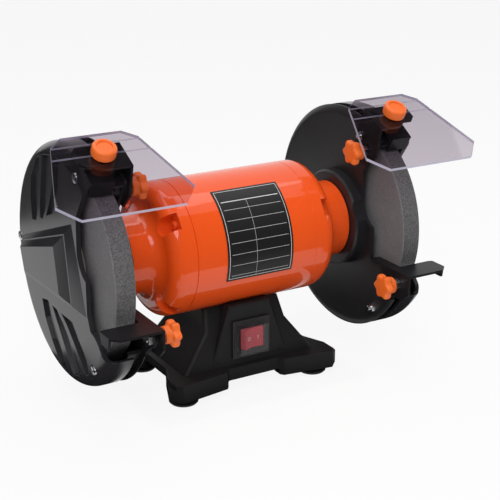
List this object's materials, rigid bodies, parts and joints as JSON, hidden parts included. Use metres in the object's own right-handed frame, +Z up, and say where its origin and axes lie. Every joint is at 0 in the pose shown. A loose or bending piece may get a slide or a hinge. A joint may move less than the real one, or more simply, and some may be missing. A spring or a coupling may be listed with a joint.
{
  "type": "bench grinder",
  "caption": "Bench grinder with a round motor on a pedestal, a guarded wheel at each end of the spindle, sloping clear eye shields, sliding tool rests, clamp knobs and a front switch.",
  "frame": {"origin": "on the bench plane under the middle of the spindle, at the centre of the bench bolt pattern", "axes": "+X along the spindle to the right, +Y to the back, +Z up"},
  "size_m": [0.4446, 0.246, 0.2786],
  "materials": {
    "orange_paint": "gloss orange enamel",
    "black_satin": "satin black coating",
    "black_sheet": "satin black coated sheet steel",
    "base_black": "fine grained black moulding",
    "zinc_plate": "bright zinc plating",
    "machined_steel": "turned steel",
    "core_steel": "laminated core steel",
    "copper_lacquer": "lacquered copper winding",
    "grit": "grey vitrified grit",
    "blotter_paper": "plain paper disc",
    "rubber": "moulded black rubber",
    "label_black": "plain black foil",
    "knob_orange": "moulded orange plastic",
    "clear_sheet": "clear sheet",
    "hood_clear": "clear soft moulding",
    "switch_black": "black moulding",
    "switch_red": "red moulding",
    "cap_white": "off white can"
  },
  "bodies": {
    "housing": {"base_bottom_plate": "zinc_plate", "base_pedestal": "base_black", "bearing_outer_races": "machined_steel", "bottom_plate_screws": "zinc_plate", "capacitor": "cap_white", "capacitor_cradle": "switch_black", "cord_gland": "switch_black", "cover_nuts": "zinc_plate", "cover_screws": "zinc_plate", "end_bell_screws": "orange_paint", "guard_mount_screws": "zinc_plate", "knob_nuts": "zinc_plate", "left_end_bell": "orange_paint", "left_guard_cover": "black_satin", "left_guard_dish": "black_satin", "left_spark_plate": "black_sheet", "motor_mount_screws": "zinc_plate", "motor_shell": "orange_paint", "rating_plate": "label_black", "right_end_bell": "orange_paint", "right_guard_cover": "black_satin", "right_guard_dish": "black_satin", "right_spark_plate": "black_sheet", "rubber_feet": "rubber", "spark_plate_screws": "zinc_plate", "stator_core": "core_steel", "stator_windings": "copper_lacquer", "switch_body": "switch_black", "switch_hood": "hood_clear"},
    "rotor": {"spindle_shaft": "machined_steel", "rotor_core": "core_steel", "cooling_fan": "switch_black", "inner_flanges": "machined_steel", "outer_flanges": "machined_steel", "wheel_blotters": "blotter_paper", "left_grinding_wheel": "grit", "right_grinding_wheel": "grit", "spindle_nuts": "machined_steel", "bearing_inner_races": "machined_steel", "bearing_balls": "machined_steel"},
    "rocker": {"switch_rocker": "switch_red"},
    "left_shield": {"left_eye_shield": "clear_sheet", "left_shield_bracket": "black_sheet", "left_shield_bolt": "zinc_plate"},
    "left_thumb_knob": {"left_shield_thumb_knob": "knob_orange"},
    "left_clamp_knob": {"left_shield_clamp_knob": "knob_orange", "left_shield_clamp_knob_stud": "zinc_plate"},
    "left_rest": {"left_tool_rest": "black_sheet"},
    "left_rest_screw": {"left_rest_knob": "knob_orange", "left_rest_knob_stud": "zinc_plate"},
    "right_shield": {"right_eye_shield": "clear_sheet", "right_shield_bracket": "black_sheet", "right_shield_bolt": "zinc_plate"},
    "right_thumb_knob": {"right_shield_thumb_knob": "knob_orange"},
    "right_clamp_knob": {"right_shield_clamp_knob": "knob_orange", "right_shield_clamp_knob_stud": "zinc_plate"},
    "right_rest": {"right_tool_rest": "black_sheet"},
    "right_rest_screw": {"right_rest_knob": "knob_orange", "right_rest_knob_stud": "zinc_plate"}
  },
  "joints": [
    {"name": "rotor_spin", "type": "hinge", "parent": "housing", "child": "rotor", "pos_m": [0, 0, 0.146], "axis": [1, 0, 0], "continuous": true},
    {"name": "switch_rock", "type": "hinge", "parent": "housing", "child": "rocker", "pos_m": [0, -0.0445, 0.054], "axis": [0, 0, -1], "range_deg": [0, 16]},
    {"name": "left_shield_tilt", "type": "hinge", "parent": "housing", "child": "left_shield", "pos_m": [-0.1346, -0.04421, 0.24212], "axis": [-1, 0, 0], "range_deg": [-10, 30]},
    {"name": "left_thumb_turn", "type": "hinge", "parent": "left_shield", "child": "left_thumb_knob", "pos_m": [-0.157, -0.06169, 0.2645], "axis": [0, -0.4617, 0.887], "continuous": true},
    {"name": "left_clamp_turn", "type": "hinge", "parent": "housing", "child": "left_clamp_knob", "pos_m": [-0.116, -0.0502, 0.22815], "axis": [1, 0, 0], "continuous": true},
    {"name": "left_rest_slide", "type": "slide", "parent": "housing", "child": "left_rest", "axis": [0, -1, 0], "range_m": [0, 0.012]},
    {"name": "left_rest_turn", "type": "hinge", "parent": "housing", "child": "left_rest_screw", "pos_m": [-0.116, -0.11045, 0.105], "axis": [1, 0, 0], "continuous": true},
    {"name": "right_shield_tilt", "type": "hinge", "parent": "housing", "child": "right_shield", "pos_m": [0.1346, -0.04421, 0.24212], "axis": [-1, 0, 0], "range_deg": [-10, 30]},
    {"name": "right_thumb_turn", "type": "hinge", "parent": "right_shield", "child": "right_thumb_knob", "pos_m": [0.157, -0.06169, 0.2645], "axis": [0, -0.4617, 0.887], "continuous": true},
    {"name": "right_clamp_turn", "type": "hinge", "parent": "housing", "child": "right_clamp_knob", "pos_m": [0.116, -0.0502, 0.22815], "axis": [1, 0, 0], "continuous": true},
    {"name": "right_rest_slide", "type": "slide", "parent": "housing", "child": "right_rest", "axis": [0, -1, 0], "range_m": [0, 0.012]},
    {"name": "right_rest_turn", "type": "hinge", "parent": "housing", "child": "right_rest_screw", "pos_m": [0.116, -0.11045, 0.105], "axis": [1, 0, 0], "continuous": true}
  ]
}
